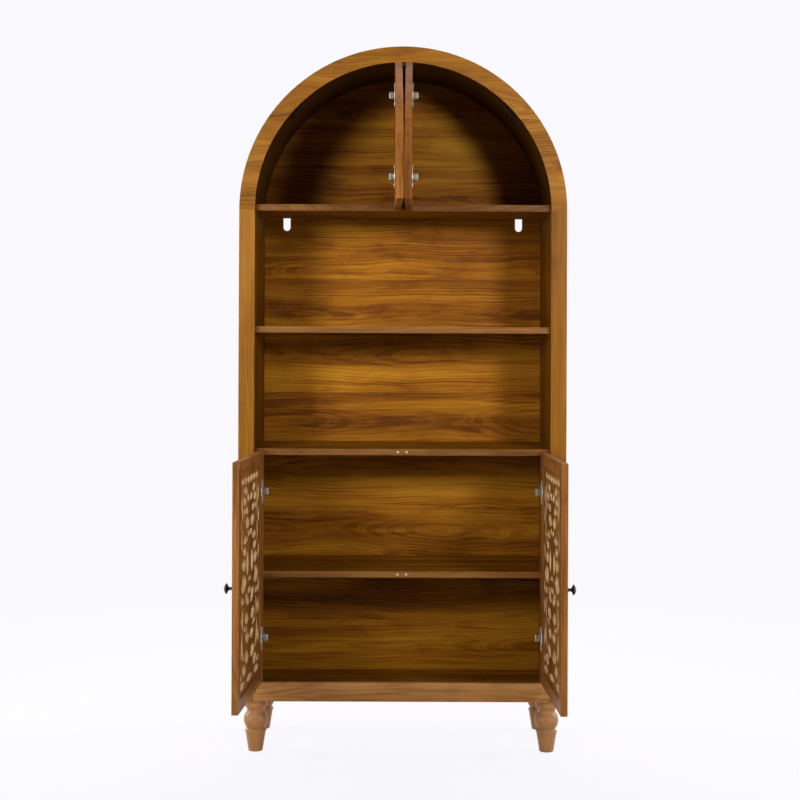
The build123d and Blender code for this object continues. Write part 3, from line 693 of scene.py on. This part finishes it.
# Knobs: cast metal mushrooms lacquered black, each held by a screw through
# the stile from inside. Steel strike discs on the doors meet the magnets.
black = moulded("black_knob", (0.006, 0.006, 0.007), (0.012, 0.012, 0.013), 0.34, 0.35)
knob_outline = (
    (0.0, 0.0), (5.4, 0.0), (5.6, 0.4), (5.5, 1.3), (4.6, 2.6), (3.9, 4.4), (3.7, 6.5),
    (3.8, 8.8), (4.3, 10.2), (6.2, 11.6), (9.4, 13.2), (11.9, 14.6), (12.5, 15.1), (12.6, 15.8),
    (12.3, 16.5), (11.2, 17.5), (9.4, 18.7), (7.0, 19.9), (4.4, 20.8), (2.0, 21.4), (0.0, 21.5),
)
knob_seat = Vector((-0.0195, -0.160, 0.47375))
lower_pivot = Vector((-0.364, -0.156, 0.0))
upper_pivot = Vector((0.0107, -0.156, 0.0))
doors = (
    ("lower_left", lower_pivot, math.radians(-94.1), 1.0),
    ("lower_right", lower_pivot, math.radians(-92.4), -1.0),
    ("upper_right", upper_pivot, math.radians(-90.954), 1.0),
    ("upper_left", upper_pivot, math.radians(-90.954), -1.0),
)


def hung(pivot, angle, flip):
    """The turn that takes a place on a shut door to where the door stands at rest."""
    swing = (
        Matrix.Translation(pivot) @ Matrix.Rotation(angle, 4, "Z") @ Matrix.Translation(-pivot)
    )
    return Matrix.Diagonal((flip, 1.0, 1.0, 1.0)) @ swing


for door, pivot, angle, flip in doors[:2]:
    seat = Matrix.Translation(knob_seat) @ Matrix.Rotation(math.radians(90.0), 4, "X")
    mesh = lathe(knob_outline, hung(pivot, angle, flip) @ seat, steps=48)
    built(f"{door}_cast_knob", mesh, black, f"{door}_door", (f"{door}_knob",))
    dress(f"{door}_knob_screw", steel)
    dress(f"{door}_strikes", steel)
for side in ("left", "right"):
    dress(f"upper_{side}_strike", steel)


# Hinges: pressed and plated steel cups, links, arms and mounting plates. The
# cups and their flanges are plated brighter than the rest.
bright_steel = metal("nickel_cup", (0.74, 0.68, 0.57), 0.42, 17.0)
sheet_ease = 0.00022
for door, *_ in doors:
    for part, plating in (
        ("plates", steel), ("arms", steel), ("links", steel), ("cups", bright_steel)
    ):
        node = f"{door}_hinge_{part}"
        finished(node, plating, sheet_ease, smooth=28.0)


# Hinge screws: cross-headed, two through each flange plate into the door, two
# through each mounting plate, and two that set the arm on its plate.
def lifted(mesh, face, rise, share=1.0):
    """Extrude one face by a rise, narrow it to a share, and drop the face that it leaves."""
    grown = bmesh.ops.extrude_face_region(mesh, geom=[face])
    crown = [g for g in grown["geom"] if isinstance(g, bmesh.types.BMFace)][0]
    bmesh.ops.translate(mesh, vec=(0.0, 0.0, rise), verts=crown.verts)
    bmesh.ops.scale(mesh, vec=(share, share, 1.0), verts=crown.verts)
    bmesh.ops.delete(mesh, geom=[face], context="FACES_ONLY")
    return crown


def screw_heads(places, radius):
    """Low domed heads with a sunk cross, each seated by its own matrix."""
    rim_rise, dome_rise, cross_depth = 0.0004, 0.0005, 0.0008
    dome_share, cross_share, cross_half_angle = 0.72, 0.34, 12.0
    single = bmesh.new()
    bmesh.ops.create_circle(single, cap_ends=True, segments=24, radius=radius)
    crown = lifted(single, single.faces[:][0], rim_rise)
    crown = lifted(single, crown, dome_rise, dome_share)
    bmesh.ops.inset_region(single, faces=[crown], thickness=radius * 0.10)
    for vert in crown.verts:
        turn = math.degrees(math.atan2(vert.co.y, vert.co.x)) % 90.0
        if cross_half_angle < turn < 90.0 - cross_half_angle:
            vert.co.x *= cross_share
            vert.co.y *= cross_share
    lifted(single, crown, -cross_depth)
    rim = [edge for edge in single.edges if edge.is_boundary]
    bmesh.ops.holes_fill(single, edges=rim, sides=0)
    bmesh.ops.recalc_face_normals(single, faces=single.faces)
    head = bpy.data.meshes.new("screw_head")
    single.to_mesh(head)
    single.free()
    mesh = bmesh.new()
    for matrix in places:
        before = len(mesh.verts)
        mesh.from_mesh(head)
        mesh.verts.ensure_lookup_table()
        bmesh.ops.transform(mesh, matrix=matrix, verts=mesh.verts[before:])
    bpy.data.meshes.remove(head)
    bmesh.ops.recalc_face_normals(mesh, faces=mesh.faces)
    return mesh


hinge_levels = {"lower": (0.2965, 0.6660), "upper": (1.4640, 1.6700)}
cup_middle_x = {"lower": -0.3520, "upper": 0.0227}
plate_face_x = {"lower": -0.3740, "upper": 0.0100}
arm_face_back = 0.0035
flange_face_y = -0.1428
plate_screws_y = -0.108
arm_screws_y = (-0.110, -0.084)
flange_half_pitch = 0.024
plate_half_pitch = 0.016
flange_screw_radius = 0.0037
mounting_screw_radius = 0.0034
sideways = Vector((1.0, 0.0, 0.0)).to_track_quat("Z", "Y").to_matrix().to_4x4()
inward = Vector((0.0, 1.0, 0.0)).to_track_quat("Z", "X").to_matrix().to_4x4()
for door, pivot, angle, flip in doors:
    tier = door.split("_")[0]
    swing = hung(pivot, angle, flip)
    mirrored = Matrix.Diagonal((flip, 1.0, 1.0, 1.0))
    in_flange = []
    in_mount = []
    for level in hinge_levels[tier]:
        for way in (-1, 1):
            seat = Vector((cup_middle_x[tier], flange_face_y, level + flange_half_pitch * way))
            in_flange.append(swing @ Matrix.Translation(seat) @ inward)
            seat = Vector((plate_face_x[tier], plate_screws_y, level + plate_half_pitch * way))
            in_mount.append(mirrored @ Matrix.Translation(seat) @ sideways)
        for y in arm_screws_y:
            seat = Vector((cup_middle_x[tier] - arm_face_back, y, level))
            in_mount.append(mirrored @ Matrix.Translation(seat) @ sideways)
    heads = screw_heads(in_flange, flange_screw_radius)
    built(f"{door}_flange_screws", heads, steel, f"{door}_door")
    heads = screw_heads(in_mount, mounting_screw_radius)
    built(f"{door}_mounting_screws", heads, steel, "carcass")


# Upper doors: plain quarter rounds of 16 mm board, foiled on both faces and
# taped along the edges, bored for the hinge cups.
quarter_tones = dimmed(door_tones, 0.80, 0.73, 0.58)
# The right door's foil is the left's cut to 0.78: a painted shade that makes the right door
# darker than the left.
right_door_painted_shade_tones = dimmed(quarter_tones, 0.78, 0.78, 0.78)
for side, tones in (("left", quarter_tones), ("right", right_door_painted_shade_tones)):
    upper_foil = walnut(f"walnut_quarter_{side}", "zyx", 0.0, 0.16, tones, 10.9, wander=0.015)
    edge_tape = walnut(
        f"walnut_quarter_tape_{side}", "zxy", -0.40, 0.30, tones, 3.3,
        figure=0.25, roughness=0.60, gloss=0.03, wander=0.01,
    )
    insets = ((edge_tape, faces_front),)
    finished(f"upper_{side}_panel", upper_foil, board_ease, insets=insets)
